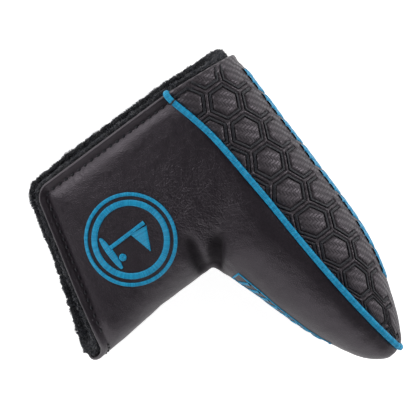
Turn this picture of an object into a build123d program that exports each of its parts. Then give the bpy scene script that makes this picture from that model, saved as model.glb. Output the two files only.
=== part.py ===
"""Padded cover for a blade putter head: a boot-shaped, fleece-lined leather sleeve.

Design frame, mm: X runs along the sole from heel to toe, Y points out of the sole, and Z points out
of the front side. Z = 0 is the cover's middle plane, and the sole's ridge at the heel end is the
origin. The finished pieces are turned by half the wedge between the two sides, so that the flat rear
side lies on Z = 0, and moved so that the origin is under the middle of the box.
"""

from build123d import *
import os
from math import cos, hypot, radians, sin

# ---------------------------------------------------------------- driving dimensions, mm
SOLE_RADIUS = 28.0  # the sole is a half round, and its diameter is the cover's thickness
WEDGE = 8.2  # degrees between each side and the middle plane
SIDE_PROUD = 0.25  # how far the flat sides stand outside the sole's half round
FLAT_CUT = 0.15  # taken off the rear side to make it one plane
FOLD_X = 70.0  # the leather folds round here, on the concave side of the boot
NECK_TOP, NECK_END = -30.0, -150.0  # the flat-sided stretch, before it is trimmed
START_X = -25.0  # the untrimmed heel end
TAPER_X, TIP_X = 100.0, 149.0  # where the toe starts to narrow, and its tip

# Toe arm: x, ridge height, lower edge height, half thickness
TOE_STATIONS = [
    (START_X, 0.0, -56.0, 28.0),
    (48.0, 0.0, -56.0, 28.0),
    (70.0, 0.0, -63.5, 27.4),
    (80.0, 0.0, -59.5, 27.2),
    (92.0, -0.5, -55.8, 26.6),
    (104.0, -2.0, -52.2, 24.8),
    (115.0, -4.6, -48.6, 22.2),
    (125.0, -7.6, -44.6, 19.0),
    (134.0, -11.0, -40.2, 15.2),
    (141.0, -15.0, -36.0, 11.2),
    (146.0, -17.6, -31.2, 7.0),
    (TIP_X, -20.6, -27.0, 3.0),
]
SMALLEST_SEMI_AXIS = 1.2  # a station narrower than this is left out of an inner layer

# Layers, as depths below the outer surface
LEATHER = 1.2
HEM = 2.4  # leather turned back once
PADDING = 3.0
LINING = 7.6  # with the fleece's pile
THREAD_HEIGHT = 0.45
PIPING_HEIGHT = 1.0
PIPING_HALF_WIDTH = 1.2
HEM_WIDTH = 6.5

# Seam between the sole panel and the sides
SEAM = [
    (START_X, -39.0),
    (-2.0, -33.1),
    (20.0, -28.0),
    (50.0, -25.6),
    (90.0, -24.0),
    (125.0, -21.8),
    (154.0, -19.0),
]

# Trimmed edges: the heel edge runs down to the corner, and the neck edge runs from it to the fold
HEEL_TOP = (0.3, 0.0)
HEEL_SEAM = (-2.9, -34.0)
CORNER = (-4.0, -106.3)
CORNER_RADIUS = 6.0
NECK_SLOPE = -0.2626
# How far each layer stands beyond the front leather's edge
REAR_LEATHER_MARGIN = 3.0
SOLE_LINING_MARGIN = 4.4
FRONT_LINING_MARGIN = 2.4
REAR_LINING_MARGIN = 6.8
PIPING_MARGIN = 0.8

# Flaps: each corner peels open about a line across its side
HINGE_HEEL = (-3.1, -36.0)
HINGE_NECK = (50.0, -120.5)
FLAP_GAP = 0.3
CORNER_HALF_GAP = 10.0  # the closed flaps' outer surfaces at the corner, from the middle plane
MAGNET_RADIUS, MAGNET_THICKNESS = 6.0, 1.2
MAGNET_CLEARANCE = 0.1
POUCH_WALL = 0.8
MAGNET_SPOTS = [(11.4, -84.0), (22.5, -98.2)]

# Sewing
STITCH = (2.4, 0.7, 0.35)  # length, width, height
STITCH_PITCH = 3.6
STITCH_INSET = 3.6
STITCH_LIFT = 0.06
TACK = (1.1, 3.4, 0.5)  # the dark bar that holds down the piping's folded end
TACK_X = 4.2
SOLE_STITCHES, NECK_STITCHES = 12, 6  # on each side of the middle one

# Emblem on the front: two rings round a flag on a stick
EMBLEM_CENTRE = (38.6, -83.9)
OUTER_RING = (19.3, 20.7)
INNER_RING = (15.0, 17.4)
STICK = (1.6, 19.0)
FLAG = (9.0, 7.0)

# Stripes along the ridge, and the bar on the toe arm
STRIPE_START, STRIPE_END = 10.0, 125.0
STRIPE_LENGTH, STRIPE_GAP, STRIPE_HALF_WIDTH, STRIPE_SLANT = 11.9, 2.0, 6.5, 4.0
TOE_BAR_UPPER = [(78.0, -53.8), (96.0, -51.2), (107.0, -49.0), (120.0, -44.8)]
TOE_BAR_LOWER = [(120.0, -46.2), (107.0, -50.6), (96.0, -54.0), (78.0, -59.2)]

REACH = 60.0  # half the height of the tools that cut outlines
FAR = 220.0

wedge = radians(WEDGE)


# ---------------------------------------------------------------- outer shape and its insets
def side_height(y, inset=0.0):
    """Half the thickness between the flat sides at height y."""
    return (SOLE_RADIUS + SIDE_PROUD - inset + (y + SOLE_RADIUS) * sin(wedge)) / cos(wedge)


LIFT = SOLE_RADIUS + SIDE_PROUD + SOLE_RADIUS * sin(wedge) - FLAT_CUT
stand = Pos(0, 0, LIFT) * Rot(WEDGE, 0, 0)


def toe_arm(inset):
    sections = []
    for x, ridge, lower, half in TOE_STATIONS:
        height, thickness = (ridge - lower) / 2 - inset, half - inset
        if min(height, thickness) < SMALLEST_SEMI_AXIS:
            continue
        if x > TAPER_X:
            x -= inset * (x - TAPER_X) / (TIP_X - TAPER_X)
        elif x == START_X:
            x -= inset + PIPING_HEIGHT
        station = Plane(origin=(x, (ridge + lower) / 2, 0), x_dir=(0, 1, 0), z_dir=(1, 0, 0))
        sections.append(station * Ellipse(height, thickness))
    return loft(sections, ruled=True)


def neck_section(y, inset):
    half = side_height(y, inset)
    centre, start = FOLD_X - inset - half, START_X - inset - PIPING_HEIGHT
    outline = [
        Line((start, -half), (centre, -half)),
        ThreePointArc((centre, -half), (centre + half, 0), (centre, half)),
        Line((centre, half), (start, half)),
        Line((start, half), (start, -half)),
    ]
    return Plane(origin=(0, y, 0), x_dir=(1, 0, 0), z_dir=(0, -1, 0)) * make_face(outline)


def neck(inset):
    return loft([neck_section(NECK_TOP, inset), neck_section(NECK_END - inset, inset)], ruled=True)


def above_floor(height):
    """Everything higher than height over the surface that the cover lies on, in the design frame."""
    room = Pos(0, 0, height + FAR) * Box(4 * FAR, 4 * FAR, 2 * FAR)
    return stand.inverse() * room


def envelope(inset):
    whole = toe_arm(inset) + neck(inset)
    return whole & above_floor(max(inset, 0.0))


# ---------------------------------------------------------------- outlines seen from the front
def neck_edge(x):
    return CORNER[1] + NECK_SLOPE * (x - CORNER[0])


def outline(margin):
    """The whole boot, trimmed margin beyond the front leather's heel and neck edges."""
    drop = margin * hypot(1, NECK_SLOPE) + margin * NECK_SLOPE
    corner = (CORNER[0] - margin, CORNER[1] - drop)
    far_neck = (FAR, neck_edge(FAR) - margin * hypot(1, NECK_SLOPE))
    points = [
        (HEEL_TOP[0] - margin, FAR),
        (HEEL_TOP[0] - margin, HEEL_TOP[1]),
        (HEEL_SEAM[0] - margin, HEEL_SEAM[1]),
        corner,
        far_neck,
        (FAR, FAR),
    ]
    face = make_face(Polyline(*points, close=True))
    sharp = face.vertices().sort_by_distance((*corner, 0))[0]
    return fillet(sharp, max(CORNER_RADIUS + margin, 1.0))


def seam_side(shift, side):
    """Above the seam for side 1, below it for side -1, starting shift beyond it."""
    line = Spline(*[(x, y + side * shift) for x, y in SEAM])
    start, end = line @ 0, line @ 1
    far = side * FAR
    edges = [line, Line(end, (end.X, far)), Line((end.X, far), (start.X, far)), Line((start.X, far), start)]
    return make_face(edges)


def flap_zone(gap=0.0):
    along = (HINGE_NECK[0] - HINGE_HEEL[0]) / (HINGE_NECK[1] - HINGE_HEEL[1])
    foot = (HINGE_HEEL[0] + along * (-FAR - HINGE_HEEL[1]), -FAR)
    zone = make_face(Polyline(HINGE_HEEL, (-FAR, HINGE_HEEL[1]), (-FAR, -FAR), foot, close=True))
    return Pos(-gap, -gap) * zone


def prism(face, low=-REACH, high=REACH):
    return extrude(Pos(0, 0, low) * face, high - low)


def boot_prism(front_margin, rear_margin):
    return prism(outline(front_margin), 0, REACH) + prism(outline(rear_margin), -REACH, 0)


def body_room(front_margin, rear_margin, seam_shift):
    room = boot_prism(front_margin, rear_margin) & prism(seam_side(seam_shift, -1))
    return room - prism(flap_zone())


def sole_room(margin, seam_shift):
    return prism(outline(margin)) & prism(seam_side(seam_shift, 1))


# ---------------------------------------------------------------- body and sole
outer = envelope(0.0)
under_leather = envelope(LEATHER)
under_hem = envelope(HEM)
under_padding = envelope(PADDING)
inside = envelope(LINING)
thread_top = envelope(-THREAD_HEIGHT)
piping_top = envelope(-PIPING_HEIGHT)
thread_layer = thread_top - outer


def body_leather():
    panel = outer & body_room(0.0, REAR_LEATHER_MARGIN, PIPING_HALF_WIDTH)
    core = under_leather & body_room(-HEM_WIDTH, REAR_LEATHER_MARGIN - HEM_WIDTH, 0.0)
    return panel - core - under_hem


def sole_panel():
    panel = outer & sole_room(0.0, PIPING_HALF_WIDTH)
    core = under_leather & sole_room(-HEM_WIDTH, 0.0)
    return panel - core - under_hem


def body_padding():
    room = body_room(-HEM_WIDTH, REAR_LEATHER_MARGIN - HEM_WIDTH, 0.0)
    return (under_leather & room) - under_padding


def sole_padding():
    return (under_leather & sole_room(-HEM_WIDTH, 0.0)) - under_padding


def body_lining():
    return (under_padding & body_room(FRONT_LINING_MARGIN, REAR_LINING_MARGIN, 0.0)) - inside


def sole_lining():
    return (under_padding & sole_room(SOLE_LINING_MARGIN, 0.0)) - inside


def seam_piping(side):
    """The wrapped cord set into the seam, on the front for side 1 and on the rear for side -1."""
    strip = prism(seam_side(-PIPING_HALF_WIDTH, 1)) & prism(seam_side(-PIPING_HALF_WIDTH, -1))
    half = prism(outline(PIPING_MARGIN), min(0, side * REACH), max(0, side * REACH))
    return (piping_top & strip & half) - under_leather


# ---------------------------------------------------------------- flaps
def side_point(spot, side, height=None):
    return Vector(spot[0], spot[1], side * (side_height(spot[1]) if height is None else height))


def flap_plane(side):
    """The closed flap's outer surface. Its normal points out of the cover."""
    heel, throat = side_point(HINGE_HEEL, side), side_point(HINGE_NECK, side)
    corner = side_point(CORNER, side, CORNER_HALF_GAP)
    along = (throat - heel).normalized()
    normal = along.cross(corner - heel).normalized()
    if normal.Z * side < 0:
        normal = -normal
    return Plane(origin=heel, x_dir=along, z_dir=normal)


def slab(plane, low, high):
    """The layer between two depths below a plane."""
    return plane * Pos(0, 0, -(low + high) / 2) * Box(2 * FAR, 2 * FAR, high - low)


def flap_room(margin):
    return prism(outline(margin) & flap_zone(FLAP_GAP))


def flap_leather(side, margin):
    plane = flap_plane(side)
    hem = flap_room(margin) - flap_room(margin - HEM_WIDTH)
    whole = (slab(plane, 0, LEATHER) & flap_room(margin)) + (slab(plane, LEATHER, HEM) & hem)
    return whole & above_floor(0.0)


def magnet_places(side):
    plane = flap_plane(side)
    for x, y in MAGNET_SPOTS:
        spot = plane.to_local_coords(Vector(x, y, side * CORNER_HALF_GAP))
        yield plane * Pos(spot.X, spot.Y, -(LEATHER + PADDING) / 2)


def flap_padding(side, margin):
    padding = slab(flap_plane(side), LEATHER, PADDING) & flap_room(margin - HEM_WIDTH)
    for place in magnet_places(side):
        padding -= place * Cylinder(MAGNET_RADIUS + MAGNET_CLEARANCE + POUCH_WALL, 2 * PADDING)
    return padding


def flap_magnets(side):
    return [place * Cylinder(MAGNET_RADIUS, MAGNET_THICKNESS) for place in magnet_places(side)]


def flap_pouches(side):
    height = PADDING - LEATHER
    pouch = Cylinder(MAGNET_RADIUS + MAGNET_CLEARANCE + POUCH_WALL, height)
    pouch -= Cylinder(MAGNET_RADIUS + MAGNET_CLEARANCE, MAGNET_THICKNESS + MAGNET_CLEARANCE)
    return [place * pouch for place in magnet_places(side)]


def flap_lining(side, margin):
    return slab(flap_plane(side), PADDING, LINING) & flap_room(margin)


# ---------------------------------------------------------------- sewing
def past_hinge(x, y):
    """How far a plan point lies beyond the flap's bend, towards the corner."""
    along_x, along_y = HINGE_NECK[0] - HINGE_HEEL[0], HINGE_NECK[1] - HINGE_HEEL[1]
    across = along_y * (x - HINGE_HEEL[0]) - along_x * (y - HINGE_HEEL[1])
    return across / hypot(along_x, along_y)


def drop_on(plane, x, y):
    """The point of a slanted plane that has the plan position x, y."""
    normal, origin = plane.z_dir, plane.origin
    z = origin.Z - (normal.X * (x - origin.X) + normal.Y * (y - origin.Y)) / normal.Z
    return Vector(x, y, z)


def stitch_at(foot, along, normal):
    raised = Pos(0, 0, STITCH[2] / 2 + STITCH_LIFT)
    return Plane(origin=foot, x_dir=along, z_dir=normal) * raised * Box(*STITCH)


def clear_of_floor(stitches):
    """Without the stitches that the cover's weight presses into its rear side."""
    return [stitch for stitch in stitches if (stand * stitch).bounding_box().min.Z > 0]


def flap_stitches(side, margin):
    """A row of stitches parallel to the flap's heel and neck edges."""
    plane = flap_plane(side)
    line = outline(margin - STITCH_INSET).wire()
    stitches = []
    for k in range(int(line.length / STITCH_PITCH)):
        spot = line.position_at(k * STITCH_PITCH, position_mode=PositionMode.LENGTH)
        heading = line.tangent_at(k * STITCH_PITCH, position_mode=PositionMode.LENGTH)
        if past_hinge(spot.X, spot.Y) < STITCH[0] or spot.Y > HINGE_HEEL[1] - STITCH[0]:
            continue
        if spot.X > FOLD_X or spot.Y < neck_edge(FOLD_X):
            continue
        foot = drop_on(plane, spot.X, spot.Y)
        ahead = drop_on(plane, spot.X + heading.X, spot.Y + heading.Y)
        stitches.append(stitch_at(foot, ahead - foot, plane.z_dir))
    return clear_of_floor(stitches)


def sole_hem_stitches():
    """Stitches across the sole panel's heel edge, from seam to seam over the ridge."""
    turn = STITCH_PITCH / SOLE_RADIUS
    slope = (HEEL_TOP[0] - HEEL_SEAM[0]) / (HEEL_TOP[1] - HEEL_SEAM[1])
    stitches = []
    for k in range(-SOLE_STITCHES, SOLE_STITCHES + 1):
        y, z = SOLE_RADIUS * (cos(k * turn) - 1), SOLE_RADIUS * sin(k * turn)
        foot = Vector(HEEL_TOP[0] + STITCH_INSET + slope * y, y, z)
        along = Vector(0, -sin(k * turn), cos(k * turn))
        stitches.append(stitch_at(foot, along, Vector(0, cos(k * turn), sin(k * turn))))
    return clear_of_floor(stitches)


def neck_hem_stitches():
    """Stitches round the fold, along the neck edge that stays with the body."""
    y = neck_edge(FOLD_X) + STITCH_INSET
    half = side_height(y)
    turn = STITCH_PITCH / half
    stitches = []
    for k in range(-NECK_STITCHES, NECK_STITCHES + 1):
        a = k * turn
        foot = Vector(FOLD_X - half + half * cos(a), y, half * sin(a))
        normal = Vector(cos(a), -(1 - cos(a)) * sin(wedge) / cos(wedge), sin(a))
        stitches.append(stitch_at(foot, Vector(-sin(a), 0, cos(a)), normal))
    return clear_of_floor(stitches)


def piping_bar_tack():
    """The bar across the front piping's folded heel end."""
    (x0, y0), (x1, y1) = SEAM[1], SEAM[2]
    y = y0 + (TACK_X - x0) * (y1 - y0) / (x1 - x0)
    normal = Vector(0, -sin(wedge), cos(wedge))
    foot = side_point((TACK_X, y), 1) + normal * (PIPING_HEIGHT + STITCH_LIFT + TACK[2] / 2)
    return Plane(origin=foot, x_dir=(1, 0, 0), z_dir=normal) * Box(*TACK)


# ---------------------------------------------------------------- embroidery
def front_plane():
    foot = (0, -SOLE_RADIUS, side_height(-SOLE_RADIUS))
    return Plane(origin=foot, x_dir=(1, 0, 0), z_dir=(0, -sin(wedge), cos(wedge)))


def emblem_outline():
    outer_ring = Circle(OUTER_RING[1]) - Circle(OUTER_RING[0])
    inner_ring = Circle(INNER_RING[1]) - Circle(INNER_RING[0])
    stick = Pos(-STICK[0], 0) * Rectangle(*STICK)
    left, top = -STICK[0] / 2, STICK[1] / 2
    tip = (left + FLAG[0], top - FLAG[1] / 2)
    flag = make_face(Polyline((left, top), tip, (left, top - FLAG[1]), close=True))
    return Pos(*EMBLEM_CENTRE) * (outer_ring + inner_ring + stick + flag)


def emblem_body_part():
    shapes = prism(emblem_outline(), 0, REACH) - prism(flap_zone())
    return slab(front_plane(), -THREAD_HEIGHT, 0) & shapes


def emblem_flap_part():
    shapes = prism(emblem_outline(), 0, REACH) & prism(flap_zone(FLAP_GAP))
    return slab(flap_plane(1), -THREAD_HEIGHT, 0) & shapes


def ridge_stripes():
    """Chevrons across the sole's ridge."""
    wide, slant, long = STRIPE_HALF_WIDTH, STRIPE_SLANT, STRIPE_LENGTH
    stripes = []
    x = STRIPE_START
    while x + long < STRIPE_END:
        left = [(x, -wide), (x + slant, 0), (x, wide)]
        right = [(x + long, wide), (x + long + slant, 0), (x + long, -wide)]
        face = Plane.XZ * make_face(Polyline(*left, *right, close=True))
        stripes.append(thread_layer & extrude(face, SOLE_RADIUS / 2, both=True))
        x += long + STRIPE_GAP
    return stripes


def toe_bar():
    face = make_face(Polyline(*TOE_BAR_UPPER, *TOE_BAR_LOWER, close=True))
    return thread_layer & prism(face, 0, REACH)


# ---------------------------------------------------------------- every node
nodes = {
    "body_leather": body_leather(),
    "sole_panel": sole_panel(),
    "front_seam_piping": seam_piping(1),
    "rear_seam_piping": seam_piping(-1),
    "body_padding": body_padding(),
    "sole_padding": sole_padding(),
    "body_lining": body_lining(),
    "sole_lining": sole_lining(),
    "sole_hem_stitches": sole_hem_stitches(),
    "neck_hem_stitches": neck_hem_stitches(),
    "piping_bar_tack": piping_bar_tack(),
    "ridge_stripe_embroidery": ridge_stripes(),
    "toe_bar_embroidery": toe_bar(),
    "emblem_body_part": emblem_body_part(),
    "emblem_flap_part": emblem_flap_part(),
}
for name, side, leather_margin, lining_margin in (
    ("front_flap", 1, 0.0, FRONT_LINING_MARGIN),
    ("rear_flap", -1, REAR_LEATHER_MARGIN, REAR_LINING_MARGIN),
):
    nodes[name + "_leather"] = flap_leather(side, leather_margin)
    nodes[name + "_padding"] = flap_padding(side, leather_margin)
    nodes[name + "_lining"] = flap_lining(side, lining_margin)
    nodes[name + "_stitches"] = flap_stitches(side, leather_margin)
    nodes[name + "_magnets"] = flap_magnets(side)
    nodes[name + "_magnet_pouches"] = flap_pouches(side)


def solids_of(shape):
    shapes = shape if isinstance(shape, list) else [shape]
    return [solid for one in shapes for solid in one.solids()]


standing = {}
for name, shape in nodes.items():
    standing[name] = Compound([stand * solid for solid in solids_of(shape)])
box = Compound(list(standing.values())).bounding_box()
centring = Pos(-box.center().X, -box.center().Y, -box.min.Z)

os.makedirs("parts", exist_ok=True)
for name, shape in standing.items():
    export_step(centring * shape, "parts/" + name + ".step")
print("size", box.size, "moved by", centring.position)
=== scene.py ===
"""The looks of the putter head cover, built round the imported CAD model.

Shapes are worked out in the part's design frame, in mm: X along the sole from heel to toe, Y out of
the sole, Z out of the front side, with the sole's ridge at the heel end as the origin. to_row() turns
them into the frame's metres.
"""

from math import cos, hypot, pi, radians, sin, sqrt

import bmesh
import bpy
import numpy as np
from mathutils import Matrix, Vector, noise
from mathutils.bvhtree import BVHTree


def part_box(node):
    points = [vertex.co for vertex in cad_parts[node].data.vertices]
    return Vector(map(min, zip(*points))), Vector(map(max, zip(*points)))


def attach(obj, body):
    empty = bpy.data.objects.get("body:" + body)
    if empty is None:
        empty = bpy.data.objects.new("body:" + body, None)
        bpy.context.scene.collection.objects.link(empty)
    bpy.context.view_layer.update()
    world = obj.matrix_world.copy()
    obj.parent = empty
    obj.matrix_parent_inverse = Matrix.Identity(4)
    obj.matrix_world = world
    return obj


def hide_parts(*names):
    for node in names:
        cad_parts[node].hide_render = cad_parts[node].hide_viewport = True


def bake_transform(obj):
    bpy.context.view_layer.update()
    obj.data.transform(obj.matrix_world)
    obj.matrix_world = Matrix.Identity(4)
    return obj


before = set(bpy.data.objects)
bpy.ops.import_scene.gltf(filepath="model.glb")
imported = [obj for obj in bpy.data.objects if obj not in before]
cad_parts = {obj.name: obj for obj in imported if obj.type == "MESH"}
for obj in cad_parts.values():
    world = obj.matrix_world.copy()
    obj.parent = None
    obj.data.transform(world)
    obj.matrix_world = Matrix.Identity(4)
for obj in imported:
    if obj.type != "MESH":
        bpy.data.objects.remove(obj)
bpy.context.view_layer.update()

# ---------------- dimensions, mm
MM = 0.001
SOLE_RADIUS = 28.0
WEDGE = radians(8.2)
SIDE_PROUD, FLAT_CUT = 0.25, 0.15
FOLD_X, TIP_X = 70.0, 149.0
HEEL_START = -32.0
NECK_TOP, NECK_END = -31.0, -150.0

# Toe arm: x, ridge height, lower edge height, half thickness
STATIONS = np.array(
    [
        (HEEL_START, 0.0, -56.0, 28.0),
        (20.0, 0.0, -56.0, 28.0),
        (48.0, 0.0, -57.0, 28.0),
        (70.0, 0.0, -63.5, 27.6),
        (80.0, 0.0, -59.8, 27.2),
        (92.0, -0.5, -55.8, 26.6),
        (104.0, -2.0, -52.2, 24.8),
        (115.0, -4.6, -48.6, 22.2),
        (125.0, -7.6, -44.6, 19.0),
        (134.0, -11.0, -40.2, 15.2),
        (141.0, -14.6, -36.0, 11.2),
        (146.0, -17.6, -31.4, 7.0),
        (TIP_X, -20.8, -26.8, 3.0),
    ]
)
SEAM = np.array(
    [
        (HEEL_START, -41.0),
        (-2.0, -33.1),
        (20.0, -28.0),
        (50.0, -25.6),
        (90.0, -24.0),
        (125.0, -21.8),
        (154.0, -19.0),
    ]
)

# Trimmed edges of the front leather
HEEL_TOP, HEEL_SEAM, CORNER = (0.3, 0.0), (-2.9, -34.0), (-4.0, -106.3)
NECK_SLOPE = -0.2626
CORNER_RADIUS = 6.0
REAR_MARGIN, REAR_NECK_MARGIN = 3.0, 8.5

# Flaps
HINGE_HEEL, HINGE_NECK = (-3.1, -36.0), (50.0, -120.5)
PINCH_SLOPE, PINCH_EASE = 0.176, 8.0

# Sewing. The rows of points run alongside a hem, at these distances inside its edge
HEM_ROWS = (0.0, 0.12, 0.4, 0.8, 1.3, 2.4, 3.4, 4.1, 4.8, 5.6)
HEM_RADIUS = 1.5
STITCH_INSET, STITCH_PITCH = 4.1, 3.6
STITCH_SIZE = (0.95, 0.46, 0.34)
LEATHER_SKIN = 1.4

# How far the fold leans out at the neck's mouth
FOLD_FLARE = 2.6

# Honeycomb on the sole
HEX_PITCH = 16.2
HEX_ROW = HEX_PITCH * sqrt(3) / 2
HEX_FIRST_X = 15.4
HEX_MIDDLE = 29.3
HEX_LINE_IN, HEX_LINE_OUT = 5.8, 7.2
HEX_THREAD = (0.56, 0.42)
RIDGE_BAND = 12.0

# The cover's two sides, and which way each faces along Z
SIDES = {"front": 1, "rear": -1}

# How softly the underside flattens on the floor, in metres
SETTLE = 0.6 * MM

VOXEL = 1.0


# ---------------- frames
def frame_shift():
    """Where the design frame's origin lies in the row frame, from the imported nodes."""
    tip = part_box("body_leather")[1].x / MM
    sole_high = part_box("sole_panel")[1].y / MM
    lift = SOLE_RADIUS * (1 + sin(WEDGE)) + SIDE_PROUD - FLAT_CUT
    return np.array([tip - TIP_X, sole_high - SOLE_RADIUS * (1 - cos(WEDGE)), lift])


SHIFT = frame_shift()
TURN = np.array([(1, 0, 0), (0, cos(WEDGE), -sin(WEDGE)), (0, sin(WEDGE), cos(WEDGE))])


def to_row(points):
    return (np.asarray(points, float) @ TURN.T + SHIFT) * MM


def row_point(x, y, z):
    return Vector(to_row([(x, y, z)])[0])


def row_direction(x, y, z):
    return Vector(TURN @ np.array([x, y, z], float))


# ---------------- numbers
def smooth_through(knots, values, x):
    """A cubic curve through the knots, evaluated at x."""
    knots, values, x = (np.asarray(a, float) for a in (knots, values, x))
    slopes = np.gradient(values, knots)
    i = np.clip(np.searchsorted(knots, x) - 1, 0, len(knots) - 2)
    step = knots[i + 1] - knots[i]
    t = np.clip((x - knots[i]) / step, 0, 1)
    near = (2 * t**3 - 3 * t**2 + 1) * values[i] + (t**3 - 2 * t**2 + t) * step * slopes[i]
    far = (3 * t**2 - 2 * t**3) * values[i + 1] + (t**3 - t**2) * step * slopes[i + 1]
    return near + far


def ease(x, low, high):
    t = np.clip((np.asarray(x, float) - low) / (high - low), 0, 1)
    return t * t * (3 - 2 * t)


def bump(x, width):
    return np.exp(-((np.asarray(x, float) / width) ** 2))


def rough(points, scale, seed=0.0):
    """Smooth noise from -1 to 1, with features about scale mm across."""
    offset = Vector((seed, 2.3 * seed, -seed))
    return np.array([noise.noise(Vector(p) / scale + offset) for p in points])


def seam_height(x):
    return smooth_through(SEAM[:, 0], SEAM[:, 1], x)


def station(x, inset=0.0):
    """Middle height and semi-axes of the toe arm's section."""
    x = np.asarray(x, float)
    ridge, lower, half = (smooth_through(STATIONS[:, 0], STATIONS[:, k], x) for k in (1, 2, 3))
    return (ridge + lower) / 2, np.maximum((ridge - lower) / 2 - inset, 0.4), np.maximum(half - inset, 0.4)


def side_height(y, inset=0.0):
    return (SOLE_RADIUS - inset + (y + SOLE_RADIUS) * sin(WEDGE)) / cos(WEDGE)


def heel_edge(y):
    xs, ys = zip(HEEL_TOP, HEEL_SEAM, CORNER)
    return np.interp(-np.asarray(y, float), [-y for y in ys], xs)


def neck_edge(x):
    return CORNER[1] + NECK_SLOPE * (x - CORNER[0])


def edge_distance(x, y):
    """Distance inside the front leather's trimmed edges."""
    from_heel = x - heel_edge(y)
    from_neck = (y - neck_edge(x)) / hypot(1, NECK_SLOPE)
    nearest = np.minimum(from_heel, from_neck)
    r = CORNER_RADIUS
    in_corner = (from_heel < r) & (from_neck < r)
    rounded = r - np.hypot(np.minimum(from_heel - r, 0), np.minimum(from_neck - r, 0))
    return np.where(in_corner, rounded, nearest)


def past_hinge(x, y):
    """How far a plan point lies beyond the flap's bend, towards the corner."""
    along_x, along_y = HINGE_NECK[0] - HINGE_HEEL[0], HINGE_NECK[1] - HINGE_HEEL[1]
    across = along_y * (x - HINGE_HEEL[0]) - along_x * (y - HINGE_HEEL[1])
    return across / hypot(along_x, along_y)


def length_walked(line):
    """Distance along a line of points, from its first point to each."""
    return np.concatenate([[0], np.cumsum(np.linalg.norm(np.diff(line, axis=0), axis=1))])


def segment_distance(p, a, b):
    """Distance from plan points to a segment, and the share of the way along it."""
    a, b = np.array(a), np.array(b)
    along = b - a
    t = np.clip(((p[:, :2] - a) @ along) / (along @ along), 0, 1)
    return np.linalg.norm(p[:, :2] - a - t[:, None] * along, axis=1), t


# ---------------- meshes
def new_object(name, points, faces):
    mesh = bpy.data.meshes.new(name)
    mesh.from_pydata(np.asarray(points, float).tolist(), [], [list(map(int, f)) for f in faces])
    obj = bpy.data.objects.new(name, mesh)
    bpy.context.scene.collection.objects.link(obj)
    return obj


def points_of(mesh):
    flat = np.empty(len(mesh.vertices) * 3)
    mesh.vertices.foreach_get("co", flat)
    return flat.reshape(-1, 3)


def normals_of(mesh):
    flat = np.empty(len(mesh.vertices) * 3)
    mesh.vertex_normals.foreach_get("vector", flat)
    return flat.reshape(-1, 3)


def move_points(mesh, points):
    mesh.vertices.foreach_set("co", np.asarray(points, float).ravel())
    mesh.update()


def with_modifier(obj, kind, **settings):
    """Applies one modifier to the mesh."""
    modifier = obj.modifiers.new(kind, kind)
    for name, value in settings.items():
        setattr(modifier, name, value)
    evaluated = obj.evaluated_get(bpy.context.evaluated_depsgraph_get())
    mesh = bpy.data.meshes.new_from_object(evaluated)
    obj.modifiers.clear()
    old, obj.data = obj.data, mesh
    bpy.data.meshes.remove(old)
    return obj


def grid_faces(rows, columns, wrap=False):
    """Quads of a grid of points stored row after row."""
    faces = []
    last = columns if wrap else columns - 1
    for i in range(rows - 1):
        for j in range(last):
            k = (j + 1) % columns
            faces.append((i * columns + j, i * columns + k, (i + 1) * columns + k, (i + 1) * columns + j))
    return faces


def cut_line(bm, field):
    """Adds edges along the line where field is zero."""
    bm.verts.index_update()
    values = field(np.array([v.co[:] for v in bm.verts]))
    values[np.abs(values) < 1e-6] = 1e-6
    crossing = []
    for edge in bm.edges:
        a, b = values[edge.verts[0].index], values[edge.verts[1].index]
        if a * b < 0:
            crossing.append((edge, edge.verts[0], a / (a - b)))
    made = [bmesh.utils.edge_split(edge, vert, share)[1] for edge, vert, share in crossing]
    bmesh.ops.connect_verts(bm, verts=made)


def keep_where(bm, field):
    """Removes the faces whose centre has a negative field."""
    values = field(np.array([f.calc_center_median()[:] for f in bm.faces]))
    gone = [f for f, value in zip(bm.faces, values) if value < 0]
    bmesh.ops.delete(bm, geom=gone, context="FACES")


def edited(obj, work):
    bm = bmesh.new()
    bm.from_mesh(obj.data)
    work(bm)
    bm.to_mesh(obj.data)
    bm.free()
    obj.data.update()
    return obj


def store_rest(obj, points=None):
    """Keeps the design-frame place of each point, for materials that mustn't slide when the flaps open."""
    rest = points_of(obj.data) if points is None else np.asarray(points, float)
    attribute = obj.data.attributes.new("rest", "FLOAT_VECTOR", "POINT")
    attribute.data.foreach_set("vector", rest.astype(np.float32).ravel())
    return obj


def store_value(obj, name, values):
    attribute = obj.data.attributes.new(name, "FLOAT", "POINT")
    attribute.data.foreach_set("value", np.asarray(values, np.float32))
    return obj


def placed(obj, material):
    """Gives a piece its material and moves it into the row frame, pressed flat on the floor."""
    if "rest" not in obj.data.attributes:
        store_rest(obj)
    points = to_row(points_of(obj.data))
    points[:, 2] = SETTLE * np.logaddexp(0, points[:, 2] / SETTLE)
    move_points(obj.data, points)
    obj.data.materials.clear()
    obj.data.materials.append(material)
    obj.data.shade_smooth()
    return obj


def bend_with(obj):
    """Bakes the piece's place into its points."""
    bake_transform(obj)
    return obj


# ---------------- the boot's outer shape
def toe_points(inset, rings, around):
    xs = HEEL_START + (TIP_X - inset - HEEL_START) * (np.linspace(0, 1, rings) ** 0.85)
    turn = np.linspace(0, 2 * pi, around, endpoint=False)
    middle, height, half = station(xs + inset * ease(xs, 100, TIP_X), inset)
    x = np.repeat(xs, around)
    y = (middle[:, None] + height[:, None] * np.cos(turn)).ravel()
    z = (half[:, None] * np.sin(turn)).ravel()
    return np.column_stack([x, y, z])


def closed_tube(points, rings, around):
    faces = grid_faces(rings, around, wrap=True)
    first = list(range(around))
    last = [(rings - 1) * around + k for k in range(around)]
    return points, faces + [first[::-1], last]


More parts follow.
